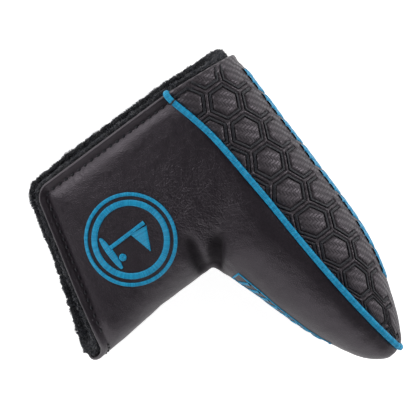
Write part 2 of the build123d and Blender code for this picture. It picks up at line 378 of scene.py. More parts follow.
def neck_points(inset, rings, around):
    """D-shaped sections: two flat sides that close in a half round at the fold."""
    rows = []
    for y in np.linspace(NECK_TOP, NECK_END, rings):
        half = side_height(y, inset)
        centre = FOLD_X - inset - half
        turn = np.linspace(-pi / 2, pi / 2, around)
        rows.append((HEEL_START, y, -half))
        rows.extend((centre + half * cos(a), y, half * sin(a)) for a in turn)
        rows.append((HEEL_START, y, half))
    return np.array(rows)


def boot(name, inset, voxel, smoothing):
    """The closed outer shape of the whole cover, inset by some depth, before its ends are trimmed."""
    rings, around = 90, 96
    toe, toe_faces = closed_tube(toe_points(inset, rings, around), rings, around)
    neck_rings, turn = 8, 40
    neck, neck_faces = closed_tube(neck_points(inset, neck_rings, turn), neck_rings, turn + 2)
    faces = toe_faces + [[k + len(toe) for k in face] for face in neck_faces]
    obj = new_object(name, np.vstack([toe, neck]), faces)
    edited(obj, lambda bm: bmesh.ops.recalc_face_normals(bm, faces=bm.faces))
    with_modifier(obj, "REMESH", mode="VOXEL", voxel_size=voxel)
    with_modifier(obj, "SMOOTH", factor=0.5, iterations=smoothing)
    return obj


def rear_share(z):
    """0 on the front side, 1 on the rear side."""
    return ease(-z, -9.0, 9.0)


def spread_edges(p, front, rear, rear_neck):
    """Moves the trimmed edges outward: front on the front side, more on the rear side."""
    x, y, z = p.T
    share = rear_share(z)
    by_neck = rear + (rear_neck - rear) * ease(x, 14, 64)
    from_heel = x - heel_edge(y)
    from_neck = (y - neck_edge(x)) / hypot(1, NECK_SLOPE)
    heel_pull = bump(np.maximum(from_heel, 0), 16)
    neck_pull = bump(np.maximum(from_neck, 0), 16)
    both = np.maximum(np.hypot(heel_pull, neck_pull), 1e-9)
    round_corner = (heel_pull**6 + neck_pull**6) ** (1 / 6) / both
    moved = p.copy()
    moved[:, 0] -= round_corner * heel_pull * (front + (rear - front) * share)
    moved[:, 1] -= round_corner * neck_pull * (front + (by_neck - front) * share)
    return moved


def pinch(p):
    """Brings the flaps' corners together."""
    u = past_hinge(p[:, 0], p[:, 1])
    inward = PINCH_SLOPE * (u + np.sqrt(u * u + PINCH_EASE**2)) / 2
    moved = p.copy()
    moved[:, 2] -= inward * np.clip(p[:, 2] / 10, -1, 1)
    return moved


# ---------------- body leather
CREASES = [
    ((48.0, -62.0), (69.0, -67.6), 2.7, 2.7),
    ((56.5, -49.0), (70.8, -62.3), 2.7, 2.6),
]


def crease_depth(p):
    """Folds that run from the inner corner towards the middle of each side."""
    depth = np.zeros(len(p))
    clear_of_fold = ease(np.abs(p[:, 2]), 0.0, 9.0)
    for a, b, deep, wide in CREASES:
        away, along = segment_distance(p, a, b)
        depth += deep * bump(away, wide) * ease(along, 0, 0.5)
    return depth * clear_of_fold


def hem_drop(d):
    """The rounded edge of a turned hem, then the dip along its stitches."""
    near = np.clip(HEM_RADIUS - d, 0, HEM_RADIUS)
    rim = HEM_RADIUS - np.sqrt(np.maximum(HEM_RADIUS**2 - near**2, 0))
    return rim + 0.16 * bump(d - STITCH_INSET, 0.8)


def padding_dip(d, deep, wide):
    """Padding is pressed flat beside sewing, and rises away from it."""
    return deep * np.exp(-np.maximum(d, 0) / wide)


def fold_flare(x, y):
    return FOLD_FLARE * ease(-y, 92, 120) * ease(x, 40, 68)


# Padding pressed flat: depth at the sewing, and how far inside it the padding has risen again
PRESSED_NEAR, PRESSED_FAR = (1.15, 3.4), (1.1, 15.0)
PRESSED_AT_SEAM = (0.8, 2.2)
# Unevenness: height, and the size of its features
WAVES, RIPPLES = (0.42, 17.0), (0.2, 7.0)
WRINKLES, FURROWS, GRAIN = (0.22, 3.4), (0.2, 4.6), (0.05, 2.6)
PUCKER, CROWN, BULGE = 0.16, 1.1, 0.9


def leather_surface(p, normals):
    """Adds sewing, folds and soft unevenness to the smooth boot."""
    x, y = p[:, 0], p[:, 1]
    d = edge_distance(x, y)
    from_seam = seam_height(x) - y
    pressed = padding_dip(d - STITCH_INSET, *PRESSED_NEAR) + padding_dip(d - STITCH_INSET, *PRESSED_FAR)
    low = hem_drop(d) + pressed * ease(d, 0.5, 4.5) * (1 - 0.8 * ease(x, 45, 62))
    low += padding_dip(from_seam, *PRESSED_AT_SEAM)
    low += crease_depth(p)
    puckers = rough(p * [1, 1, 0.5], 3.0, 4.0) * bump(d - 5.0, 3.5) * PUCKER
    waves = WAVES[0] * rough(p, WAVES[1], 1.0) + RIPPLES[0] * rough(p, RIPPLES[1], 2.0)
    from_toe_arm = segment_distance(p, (60, -58), (80, -62))[0]
    centre = bump(np.hypot(x - 38, y + 48), 34) + 0.4 * bump(from_toe_arm, 16)
    wrinkles = WRINKLES[0] * rough(p, WRINKLES[1], 3.0)
    furrows = FURROWS[0] * np.abs(rough(p, FURROWS[1], 6.0))
    grain = centre * (wrinkles - furrows)
    grain += GRAIN[0] * rough(p, GRAIN[1], 5.0)
    swell = BULGE * bump(np.hypot(x - 36, y + 56), 17) + CROWN * normals[:, 2] ** 2
    inside = ease(d, 2.0, 9.0)
    moved = p + normals * (puckers + (waves + grain + swell) * inside - low)[:, None]
    moved[:, 0] += fold_flare(x, y)
    return moved


def leather_cuts(bm):
    for d in HEM_ROWS:
        cut_line(bm, lambda p, d=d: edge_distance(p[:, 0], p[:, 1]) - d)
    keep_where(bm, lambda p: edge_distance(p[:, 0], p[:, 1]))
    cut_line(bm, lambda p: seam_height(p[:, 0]) - p[:, 1])
    keep_where(bm, lambda p: seam_height(p[:, 0]) - p[:, 1])
    cut_line(bm, lambda p: p[:, 2])


def make_body_leather():
    obj = boot("body_leather_skin", 0.0, VOXEL, 8)
    edited(obj, leather_cuts)
    mesh = obj.data
    rest = points_of(mesh)
    moved = leather_surface(rest, normals_of(mesh))
    moved = pinch(spread_edges(moved, 0.0, REAR_MARGIN, REAR_NECK_MARGIN))
    store_rest(obj, rest)
    # fold holds each crease's depth. The leather's material uses it for painted shade and extra roughness.
    store_value(obj, "fold", np.clip(crease_depth(rest) / 2.0, 0, 1))
    move_points(mesh, moved)
    return obj


def split_sides(obj, ending):
    """Splits a piece at the middle plane into front and rear halves that keep its shading."""
    mesh = obj.data
    mesh.shade_smooth()
    mesh.update()
    corner_normals = np.empty(len(mesh.loops) * 3)
    mesh.corner_normals.foreach_get("vector", corner_normals)
    corner_normals = corner_normals.reshape(-1, 3)
    keep = mesh.attributes.new("shade", "FLOAT_VECTOR", "CORNER")
    keep.data.foreach_set("vector", corner_normals.astype(np.float32).ravel())
    halves = []
    for name, sign in SIDES.items():
        half = obj.copy()
        half.data = mesh.copy()
        half.name = name + "_" + ending
        bpy.context.scene.collection.objects.link(half)
        edited(half, lambda bm, sign=sign: keep_where(bm, lambda p: sign * p[:, 2]))
        halves.append(half)
    bpy.data.objects.remove(obj)
    return halves


def restore_shading(obj):
    """Sets the shading kept by split_sides, turned into the row frame."""
    stored = obj.data.attributes["shade"]
    flat = np.empty(len(obj.data.loops) * 3, np.float32)
    stored.data.foreach_get("vector", flat)
    normals = flat.reshape(-1, 3) @ TURN.T
    obj.data.normals_split_custom_set(normals.tolist())
    obj.data.attributes.remove(obj.data.attributes["shade"])


# ---------------- sole
def seam_turn(x):
    """The seam's angle from the ridge, about the sole's centre line."""
    middle, height, _ = station(x)
    return np.arccos(np.clip((seam_height(x) - middle) / height, -1, 1))


def sole_place(x, arc, lift=0.0):
    """A point of the sole, from its place along the ridge and its distance round from it at the heel."""
    x, arc = np.asarray(x, float), np.asarray(arc, float)
    turn = arc / SOLE_RADIUS
    middle, height, half = station(x)
    y, z = middle + height * np.cos(turn), half * np.sin(turn)
    normal = np.column_stack([np.zeros_like(x), np.cos(turn) / height, np.sin(turn) / half])
    ahead = station(x + 0.5)
    falling = (ahead[0] - middle) * np.cos(turn) * 2 + (ahead[1] - height) * 2 * np.cos(turn) ** 2
    normal[:, 0] = -falling / height
    normal[:, 0] -= (ahead[2] - half) * 2 * np.sin(turn) ** 2 / half
    normal /= np.linalg.norm(normal, axis=1)[:, None]
    return np.column_stack([x, y, z]) + normal * np.asarray(lift, float).reshape(-1, 1), normal


def sole_heel(x, arc):
    """Where the sole's heel hem lies, for a point of the sole."""
    return heel_edge(station(x)[0] + SOLE_RADIUS * np.cos(arc / SOLE_RADIUS))


def sole_hem(d):
    """How far the sole drops at its hem and beside the hem's stitches."""
    return hem_drop(d) + padding_dip(d - STITCH_INSET, 0.5, 3.0) * ease(d, 0.5, 4.5)


def sole_waves(x, arc):
    """The sole's soft unevenness, without the fine relief of the honeycomb."""
    flat = np.column_stack([x, arc, np.zeros(len(x))])
    return 0.3 * rough(flat, 15.0, 7.0) + 0.1 * rough(flat, 5.0, 8.0)


def hex_distance(x, arc):
    """How far a point is from its honeycomb cell's middle, measured square to the cell's nearest side."""
    best = np.full(len(x), 1e9)
    for row in range(-4, 5):
        centre_arc = row * HEX_ROW + (HEX_MIDDLE - 2 * HEX_ROW)
        offset = 0.0 if row % 2 == 0 else HEX_PITCH / 2
        k = np.round((x - HEX_FIRST_X - offset) / HEX_PITCH)
        dx = np.abs(x - HEX_FIRST_X - offset - k * HEX_PITCH)
        da = np.abs(np.abs(arc) - centre_arc)
        best = np.minimum(best, np.maximum(dx, dx / 2 + da * sqrt(3) / 2))
    return best


CELL_RISE, TRENCH_DEPTH, RIB_RISE, BAND_RISE = 0.5, 0.85, 0.35, 0.25


def sole_relief(x, arc):
    """Padded cells, the trenches that the embroidery presses, and the ribs between the cells."""
    q = hex_distance(x, arc)
    cell = CELL_RISE * np.clip(1 - (q / HEX_LINE_IN) ** 5, 0, 1)
    trench = TRENCH_DEPTH * bump(q - (HEX_LINE_IN + HEX_LINE_OUT) / 2, 1.0)
    rib = RIB_RISE * ease(q, HEX_LINE_OUT, HEX_PITCH / 2)
    pattern = cell - trench + rib
    outside_band = ease(np.abs(arc), RIDGE_BAND - 0.5, RIDGE_BAND + 0.5)
    return pattern * outside_band + BAND_RISE * (1 - outside_band)


def make_sole_panel():
    along, across = ((380, 230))
    share = np.linspace(0, 1, along)
    start = np.array(HEM_ROWS) / (TIP_X + 1.0)
    share = np.concatenate([start, start[-1] + (1 - start[-1]) * share[1:]])
    side = np.linspace(-1, 1, across)
    s, v = np.meshgrid(share, side, indexing="ij")
    s, v = s.ravel(), v.ravel()
    x = s * (TIP_X + 0.6)
    for _ in range(3):
        turn = v * seam_turn(x)
        middle, height, _ = station(x)
        heel = heel_edge(middle + height * np.cos(turn))
        x = heel + s * (TIP_X + 0.6 - heel)
    arc = SOLE_RADIUS * turn
    d = x - heel
    to_seam = (1 - np.abs(v)) * seam_turn(x) * station(x)[1]
    lift = sole_relief(x, arc) * ease(to_seam, 0, 3) * ease(d, 1.0, 7.0)
    lift -= sole_hem(d)
    lift -= padding_dip(to_seam, 0.8, 1.6)
    lift += sole_waves(x, arc) * ease(d, 2, 9)
    points, _ = sole_place(x, arc, lift)
    obj = new_object("sole_panel_leather", points, grid_faces(len(share), across))
    store_rest(obj, np.column_stack([x, arc, np.zeros(len(x))]))
    with_modifier(obj, "SOLIDIFY", thickness=LEATHER_SKIN, offset=-1.0)
    return obj


# ---------------- raised thread
def satin(name, path, half_width, height, lay, closed=False, seed=0):
    """A band of satin stitch along a flat path. lay puts flat points on the leather."""
    rng = np.random.default_rng(seed)
    path = np.asarray(path, float)
    width = np.broadcast_to(np.asarray(half_width, float), len(path)).copy()
    if closed:
        before, after = np.roll(path, 1, axis=0), np.roll(path, -1, axis=0)
    else:
        before = np.vstack([path[:1] * 2 - path[1:2], path[:-1]])
        after = np.vstack([path[1:], path[-1:] * 2 - path[-2:-1]])
    first, second = path - before, after - path
    first /= np.maximum(np.linalg.norm(first, axis=1), 1e-9)[:, None]
    second /= np.maximum(np.linalg.norm(second, axis=1), 1e-9)[:, None]
    mitre = first + second
    mitre /= np.linalg.norm(mitre, axis=1)[:, None]
    across = np.column_stack([-mitre[:, 1], mitre[:, 0]])
    stretch = 1 / np.maximum((mitre * second).sum(1), 0.5)
    ragged = 1 + rng.uniform(-0.5, 0.5, (len(path), 1)) * 0.07 / np.maximum(width[:, None], 0.3)
    reach = across * width[:, None] * stretch[:, None] * ragged
    return stitched_between(name, path - reach, path + reach, height, lay, closed, seed)


SATIN_SHARES = np.array([-1.0, -0.97, -0.86, -0.5, 0, 0.5, 0.86, 0.97, 1.0])
SATIN_RISE = np.array([-0.5, 0.35, 0.8, 0.97, 1.0, 0.97, 0.8, 0.35, -0.5])


def stitched_between(name, left, right, height, lay, closed=False, seed=0):
    """Raised thread laid from each left point to the right point beside it."""
    rng = np.random.default_rng(seed + 1000)
    middle, half = (left + right) / 2, (right - left) / 2
    flat = middle[:, None, :] + half[:, None, :] * SATIN_SHARES[:, None]
    count, columns = len(middle), len(SATIN_SHARES)
    lift = SATIN_RISE * height + rng.uniform(-0.03, 0.03, (count, 1))
    points, normals = lay(flat.reshape(-1, 2))
    points = points + normals * lift.reshape(-1, 1)
    faces = grid_faces(count, columns)
    if closed:
        last = (count - 1) * columns
        faces += [(last + j, last + j + 1, j + 1, j) for j in range(columns - 1)]
    obj = new_object(name, points, faces)
    walked = length_walked(middle)
    across = np.linalg.norm(half, axis=1)[:, None] * SATIN_SHARES
    store_rest(obj, np.column_stack([np.repeat(walked, columns), across.ravel(), np.zeros(len(points))]))
    return obj


def joined(name, objects):
    """Joins pieces into one object, keeping their attributes."""
    bpy.ops.object.select_all(action="DESELECT")
    for obj in objects:
        obj.select_set(True)
    bpy.context.view_layer.objects.active = objects[0]
    if len(objects) > 1:
        bpy.ops.object.join()
    objects[0].name = name
    objects[0].data.name = name
    return objects[0]


def refine(corners, step, closed=False):
    """Points about step apart along straight lines between the corners."""
    corners = [np.array(c, float) for c in corners]
    if closed:
        corners.append(corners[0])
    points = []
    for a, b in zip(corners, corners[1:]):
        count = max(int(round(np.linalg.norm(b - a) / step)), 1)
        points.extend(a + (b - a) * k / count for k in range(count))
    if not closed:
        points.append(corners[-1])
    return np.array(points)


def circle(centre, radius, step):
    count = int(2 * pi * radius / step)
    turn = np.linspace(0, 2 * pi, count, endpoint=False)
    return np.column_stack([centre[0] + radius * np.cos(turn), centre[1] + radius * np.sin(turn)])


class Draped:
    """Puts plan points on the front or rear of a finished surface."""

    def __init__(self, obj, side):
        mesh = obj.data
        self.side = side
        self.points = points_of(mesh)
        self.normals = normals_of(mesh)
        mesh.calc_loop_triangles()
        self.triangles = [tuple(t.vertices) for t in mesh.loop_triangles]
        self.tree = BVHTree.FromPolygons(self.points.tolist(), self.triangles)

    def __call__(self, flat):
        places, normals = [], []
        for x, y in flat:
            start = Vector((x, y, self.side * 80))
            hit, _, index, _ = self.tree.ray_cast(start, Vector((0, 0, -self.side)))
            if hit is None:
                hit, _, index, _ = self.tree.find_nearest(Vector((x, y, self.side * 12)))
            corners = self.triangles[index]
            weights = [1 / (1e-3 + (hit - Vector(self.points[c])).length) for c in corners]
            smooth = sum((self.normals[c] * w for c, w in zip(corners, weights)), np.zeros(3))
            places.append(hit[:])
            normals.append(smooth / np.linalg.norm(smooth))
        return np.array(places), np.array(normals)

    def nearest(self, points):
        """The surface points nearest to some points in space, and the normals there."""
        found = [self.tree.find_nearest(Vector(p)) for p in points]
        return np.array([hit[0][:] for hit in found]), np.array([hit[1][:] for hit in found])


def on_sole(flat):
    x, arc = flat.T
    return sole_place(x, arc, sole_waves(x, arc))


# ---------------- piping
def seam_end():
    """Where the two seams meet on the ridge, just short of the toe's tip."""
    xs = np.linspace(TIP_X - 20, TIP_X, 400)
    ridge = smooth_through(STATIONS[:, 0], STATIONS[:, 1], xs)
    return float(xs[np.argmin(np.abs(seam_height(xs) - ridge))])


SEAM_END_X = seam_end()
PIPING_RADIUS, PIPING_RIB, PIPING_SIDES = 1.38, 0.52, 16
TACK_START, TACK_END = 7.6, 8.6


def resampled(points, step):
    """A smooth curve through 3-D points, as points about step apart, with the length walked."""
    points = np.asarray(points, float)
    walked = length_walked(points)
    places = np.linspace(0, walked[-1], int(walked[-1] / step))
    return np.column_stack([smooth_through(walked, points[:, k], places) for k in range(3)]), places


def seam_path(side):
    """The middle of the piping, from its folded heel end to the toe."""
    xs = np.concatenate([np.linspace(0.6, 140, 90), np.linspace(141, SEAM_END_X, 14)])
    arc = side * SOLE_RADIUS * seam_turn(xs)
    points, _ = sole_place(xs, arc, np.full(len(xs), 0.35))
    heel_x = heel_edge(points[0, 1])
    start, normal = sole_place([heel_x], [arc[0]])
    start, normal = start[0], normal[0]
    curl = [(1.1, -3.4), (0.35, -2.3), (0.1, -1.0), (0.55, 0.2)]
    lead = [start + np.array([forward, 0, 0]) + normal * up for forward, up in curl]
    return np.vstack([lead, points[1:]])


def tube(name, centres, walked, outward, radius, rib=0.0):
    """A round tube along centres. outward is the leather's normal there."""
    tangent = np.gradient(centres, axis=0)
    tangent /= np.linalg.norm(tangent, axis=1)[:, None]
    up = outward - tangent * (outward * tangent).sum(1)[:, None]
    up /= np.linalg.norm(up, axis=1)[:, None]
    across = np.cross(tangent, up)
    around = PIPING_SIDES
    turn = np.linspace(0, 2 * pi, around, endpoint=False)
    radius = np.broadcast_to(radius, len(centres))
    wave = rib * np.cos(2 * pi * walked[:, None] / PIPING_RIB + 0.5 * np.sin(turn))
    reach = radius[:, None] + wave
    points = centres[:, None, :] + reach[:, :, None] * (
        up[:, None, :] * np.cos(turn)[:, None] + across[:, None, :] * np.sin(turn)[:, None]
    )
    rows = len(centres)
    faces = grid_faces(rows, around, wrap=True)
    faces.append(list(range(around))[::-1])
    faces.append([(rows - 1) * around + k for k in range(around)])
    obj = new_object(name, points.reshape(-1, 3), faces)
    threads = np.column_stack([np.repeat(walked, around), np.tile(turn, rows), np.zeros(rows * around)])
    store_rest(obj, threads)
    return obj


def make_piping(name, side):
    centres, walked = resampled(seam_path(side), 0.13)
    middle = station(centres[:, 0])[0]
    outward = np.column_stack([np.zeros(len(centres)), centres[:, 1] - middle, centres[:, 2]])
    piping = tube(name + "_piping", centres, walked, outward, PIPING_RADIUS, rib=0.05)
    tack = (walked > TACK_START) & (walked < TACK_END)
    bar = tube(name + "_piping_tack", centres[tack], walked[tack], outward[tack], PIPING_RADIUS + 0.2)
    return piping, bar


# ---------------- stitches
def plan_point(from_heel, from_neck):
    """The plan point at given distances inside the heel and neck edges."""
    x, y = CORNER[0] + from_heel, CORNER[1] + from_neck
    for _ in range(6):
        y = neck_edge(x) + from_neck * hypot(1, NECK_SLOPE)
        x = float(heel_edge(y)) + from_heel
    return x, y


def hem_line(inset, step):
    """Plan points that follow the heel edge, the corner and the neck edge, inset inside them."""
    r = CORNER_RADIUS
    turn = np.linspace(0, pi / 2, 12)
    corner = [plan_point(r - (r - inset) * cos(t), r - (r - inset) * sin(t)) for t in turn]
    top = (float(heel_edge(HEEL_SEAM[1])) + inset, HEEL_SEAM[1] + 1.0)
    last = plan_point(FOLD_X - 6 - CORNER[0], inset)
    line = np.array([top, *corner, last])
    walked = length_walked(line)
    places = np.arange(step / 2, walked[-1], step)
    return np.column_stack([np.interp(places, walked, line[:, k]) for k in range(2)])


def stitch_mesh(name, places, tangents, normals):
    """Small rounded threads, one at each place."""
    rings, around = 9, 8
    length, width, depth = STITCH_SIZE
    template = []
    for t in np.linspace(-1, 1, rings):
        thick = max(1 - abs(t) ** 3, 0.0) ** 0.5 * (1 + 0.05 * cos(9 * t))
        for a in np.linspace(0, 2 * pi, around, endpoint=False):
            template.append((t * length, thick * width * cos(a), thick * depth * sin(a) - 0.25 * t**4))
    template = np.array(template)
    base = grid_faces(rings, around, wrap=True)
    points, faces = [], []
    for place, tangent, normal in zip(places, tangents, normals):
        tangent = tangent - normal * (tangent @ normal)
        tangent /= np.linalg.norm(tangent)
        across = np.cross(normal, tangent)
        start = len(points) * len(template)
        points.append(place + normal * depth + template @ np.array([tangent, across, normal]))
        faces.extend([start + k for k in face] for face in base)
    obj = new_object(name, np.vstack(points), faces)
    edited(obj, lambda bm: bmesh.ops.remove_doubles(bm, verts=bm.verts, dist=0.002))
    return obj


def flap_stitches(name, drape, side):
    line = hem_line(STITCH_INSET, STITCH_PITCH / 2)
    guess = np.column_stack([line, np.full(len(line), side * 20.0)])
    line = spread_edges(guess, 0.0, REAR_MARGIN, REAR_NECK_MARGIN)[:, :2]
    places, normals = drape(line)
    tangents = np.gradient(places, axis=0)
    return stitch_mesh(name, places[::2], tangents[::2], normals[::2])


def sole_hem_stitches():
    """Stitches across the sole panel, from seam to seam."""
    reach = SOLE_RADIUS * float(seam_turn(2.0)) - 3.0
    arc = np.arange(-reach, reach, STITCH_PITCH)
    x = sole_heel(0.0, arc) + STITCH_INSET
    places, normals = sole_place(x, arc, sole_waves(x, arc) * 0.1 - 1.0)
    tangents = np.gradient(places, axis=0)
    return stitch_mesh("sole_hem_stitches", places, tangents, normals)


FOLD_ROW_COUNT, FOLD_ROW_TURN = 7, radians(27)


def fold_stitches(drape):
    """Stitches round the fold, between the two flaps' rows."""
    front = plan_point(FOLD_X - 6 - CORNER[0], STITCH_INSET)
    half = side_height(front[1])
    guesses = []
    for a in np.linspace(FOLD_ROW_TURN, -FOLD_ROW_TURN, FOLD_ROW_COUNT):
        guess = np.array([[FOLD_X - half + half * cos(a), front[1] - 1.5, half * sin(a)]])
        guesses.append(spread_edges(guess, 0.0, REAR_MARGIN, REAR_NECK_MARGIN)[0])
    places, normals = drape.nearest(guesses)
    return stitch_mesh("fold_stitches", places, np.gradient(places, axis=0), normals)


# ---------------- embroidery
EMBLEM_CENTRE = (38.6, -83.9)
OUTER_RING, INNER_RING = (20.0, 0.85), (16.2, 1.4)
# Inside the rings, from the emblem's centre
STICK = (-2.4, -10.0), (-2.4, 9.5)
FLAG_ROOT, FLAG_DROOP = (-1.2, 5.4), 0.12
FLAG_LENGTH, FLAG_HALF = 10.5, 4.0
GREEN = (-8.5, -10.8), (8.0, -10.8)
GREEN_MIDDLE, GREEN_REACH, GREEN_HALF = -0.2, 8.6, 1.6
BALL, BALL_RADIUS = (4.2, -7.6), 0.85
THREAD_HEIGHT, THREAD_STEP = 0.5, 0.35


def make_emblem(drape):
    """Two rings round a flag on its stick, a green and a ball. The stick points towards the sole."""
    centre = np.array(EMBLEM_CENTRE)
    rings = [
        satin("ring", circle(EMBLEM_CENTRE, radius, THREAD_STEP), half, THREAD_HEIGHT, drape, True, 11)
        for radius, half in (OUTER_RING, INNER_RING)
    ]
    stick = refine([centre + end for end in STICK], THREAD_STEP)
    along = np.linspace(0, FLAG_LENGTH, 30)
    flag = centre + FLAG_ROOT + along[:, None] * [1, -FLAG_DROOP]
    flag_width = FLAG_HALF * (1 - along / FLAG_LENGTH) + 0.15
    green = refine([centre + end for end in GREEN], THREAD_STEP)
    from_middle = (green[:, 0] - centre[0] - GREEN_MIDDLE) / GREEN_REACH
    green_width = GREEN_HALF * np.sqrt(np.clip(1 - from_middle**2, 0.02, 1))
    ball = circle(centre + BALL, BALL_RADIUS, THREAD_STEP * 0.7)
    shapes = [
        satin("stick", stick, 0.95, THREAD_HEIGHT + 0.05, drape, seed=12),
        satin("flag", flag, flag_width, THREAD_HEIGHT, drape, seed=13),
        satin("green", green, green_width, THREAD_HEIGHT, drape, seed=14),
        satin("ball", ball, 0.84, THREAD_HEIGHT, drape, True, 15),
    ]
    return joined("front_emblem", rings + shapes)


TOE_BAR_START, TOE_BAR_END, TOE_BAR_HALF = 79.0, 128.0, 4.6
TOE_FILL_PITCH, TOE_FILL_SLANT = 5.4, 3.2
TOE_THREAD, TOE_STEP = 0.4, 0.4


def make_toe_bar(drape):
    """An outlined bar with slanted fillings, low on the toe arm's front."""

    def lay(flat):
        """Puts x and a distance across the bar on the toe arm's lower side."""
        x, across = flat.T
        along = (x - TOE_BAR_START) / (TOE_BAR_END - TOE_BAR_START)
        middle, height, half = station(x)
        angle = np.radians(24 - 20 * along + np.degrees(across / half))
        return drape.nearest(np.column_stack([x, middle - height * np.cos(angle), half * np.sin(angle)]))

    low, high = -TOE_BAR_HALF, TOE_BAR_HALF
    corners = [(TOE_BAR_START, low), (TOE_BAR_END, low), (TOE_BAR_END, high), (TOE_BAR_START, high)]
    pieces = [satin("bar_frame", refine(corners, TOE_STEP, True), 0.45, TOE_THREAD, lay, True, 21)]
    for k, x in enumerate(np.arange(TOE_BAR_START + 3.5, TOE_BAR_END - 6, TOE_FILL_PITCH)):
        line = refine([(x, low + 1.6), (x + TOE_FILL_SLANT, high - 1.6)], TOE_STEP)
        pieces.append(satin("bar_fill", line, 0.95, TOE_THREAD, lay, seed=30 + k))
    return joined("toe_bar", pieces)


CHEVRON_LENGTH, CHEVRON_GAP, CHEVRON_HALF, CHEVRON_SLANT = 11.9, 2.0, 6.3, 3.4
CHEVRON_BARS, BAR_GAP = 3, 0.35
CHEVRON_COUNT, CHEVRON_START, CHEVRON_HEIGHT = 8, 8.0, 0.85


def make_ridge_stripes():
    """Chevrons of blue thread along the sole's ridge, each in three bars of stitches."""
    arc = np.linspace(-CHEVRON_HALF, CHEVRON_HALF, 40)
    point = CHEVRON_SLANT * (1 - np.abs(arc) / CHEVRON_HALF)
    bar = CHEVRON_LENGTH / CHEVRON_BARS
    pieces = []
    for k in range(CHEVRON_COUNT):
        for part in range(CHEVRON_BARS):
            start = CHEVRON_START + k * (CHEVRON_LENGTH + CHEVRON_GAP) + part * bar
            left = np.column_stack([start + point, arc])
            right = left + np.array([bar - BAR_GAP, 0])
            pieces.append(stitched_between("chevron", left, right, CHEVRON_HEIGHT, on_sole, seed=50 + k))
    return joined("ridge_stripes", pieces)


def runs_where(path, allowed):
    """Splits a path into the stretches that are allowed."""
    runs, current = [], []
    for point, good in zip(path, allowed):
        if good:
            current.append(point)
        elif current:
            runs.append(np.array(current))
            current = []
    if current:
        runs.append(np.array(current))
    return [run for run in runs if len(run) > 4]


def make_honeycomb():
    """Dark embroidered outlines round each cell of the sole, cut off by the seams and the middle band."""
    centre_line = (HEX_LINE_IN + HEX_LINE_OUT) / 2
    reach = centre_line * 2 / sqrt(3)
    corners = [(reach * cos(radians(a)), reach * sin(radians(a))) for a in range(30, 390, 60)]
    pieces = []
    for side in (-1, 1):
        for row, offset in ((-1, HEX_PITCH / 2), (0, 0.0), (1, HEX_PITCH / 2)):
            for k in range(-1, 9):
                cx = HEX_FIRST_X + offset + k * HEX_PITCH
                ca = HEX_MIDDLE + row * HEX_ROW
                path = refine([(cx + dx, side * (ca + da)) for dx, da in corners], 0.5, True)
                limit = SOLE_RADIUS * seam_turn(np.clip(path[:, 0], -3, SEAM_END_X)) - 1.3
                heel = sole_heel(path[:, 0], path[:, 1])
                distance = np.abs(path[:, 1])
                good = (distance > RIDGE_BAND + 0.3) & (distance < limit)
                good &= (path[:, 0] > heel + 1.2) & (path[:, 0] < SEAM_END_X - 4)
                if good.all():
                    pieces.append(satin("cell", path, *HEX_THREAD, on_sole_trench, True, 100 + k))
                    continue
                turned = np.roll(np.arange(len(path)), -int(np.argmin(good)))
                for run in runs_where(path[turned], good[turned]):
                    pieces.append(satin("cell", run, *HEX_THREAD, on_sole_trench, seed=200 + k))
    return joined("honeycomb_embroidery", pieces)


def on_sole_trench(flat):
    x, arc = flat.T
    d = x - sole_heel(x, arc)
    lift = sole_waves(x, arc) * ease(d, 2, 9) - 0.3 * ease(d, 1.0, 7.0)
    lift -= sole_hem(d)
    return sole_place(x, arc, lift)


# ---------------- fleece lining
LINING_TOP, LINING_THICK = 3.4, 4.4
FRONT_LINING, REAR_LINING, REAR_NECK_LINING = 1.8, 5.5, 9.3
CLUMP_HEIGHT, CURL_HEIGHT = 0.22, 0.2


def lining_cuts(bm):
    cut_line(bm, lambda p: edge_distance(p[:, 0], p[:, 1]))
    keep_where(bm, lambda p: edge_distance(p[:, 0], p[:, 1]))


def make_lining():
    obj = boot("lining_skin", LINING_TOP, 2.0, 4)
    edited(obj, lining_cuts)
    rest = points_of(obj.data)
    p = rest - normals_of(obj.data) * crease_depth(rest)[:, None]
    p[:, 0] += fold_flare(p[:, 0], p[:, 1])
    move_points(obj.data, pinch(spread_edges(p, FRONT_LINING, REAR_LINING, REAR_NECK_LINING)))
    with_modifier(obj, "SOLIDIFY", thickness=LINING_THICK, offset=-1.0)
    with_modifier(obj, "REMESH", mode="VOXEL", voxel_size=1.5)
    with_modifier(obj, "SMOOTH", factor=0.5, iterations=4)
    p, n = points_of(obj.data), normals_of(obj.data)
    clumps = CLUMP_HEIGHT * rough(p, 3.4, 12.0) + CURL_HEIGHT * rough(p, 1.7, 13.0)
    move_points(obj.data, p + n * clumps[:, None])
    edited(obj, lambda bm: cut_line(bm, lambda p: p[:, 2]))
    return obj


def surface_samples(mesh, density, rng):
    """Random points on a mesh, with density per square mm given for each triangle's middle and normal."""
    mesh.calc_loop_triangles()
    count = len(mesh.loop_triangles)
    corners = np.empty(count * 3, np.int32)
    mesh.loop_triangles.foreach_get("vertices", corners)
    corners = corners.reshape(-1, 3)
    p, n = points_of(mesh), normals_of(mesh)
    a, b, c = (p[corners[:, k]] for k in range(3))
    area = np.linalg.norm(np.cross(b - a, c - a), axis=1) / 2
    wanted = area * density((a + b + c) / 3)
    number = np.floor(wanted + rng.random(count)).astype(int)
    index = np.repeat(np.arange(count), number)
    r1, r2 = np.sqrt(rng.random(len(index))), rng.random(len(index))
    w = np.column_stack([1 - r1, r1 * (1 - r2), r1 * r2])
    places = sum(w[:, k : k + 1] * p[corners[index, k]] for k in range(3))
    normals = sum(w[:, k : k + 1] * n[corners[index, k]] for k in range(3))
    return places, normals / np.linalg.norm(normals, axis=1)[:, None]


def rim_distance(p):
    """Distance inside the lining's own edge, roughly."""
    margin = FRONT_LINING + (REAR_LINING - FRONT_LINING) * rear_share(p[:, 2])
    return edge_distance(p[:, 0], p[:, 1]) + margin


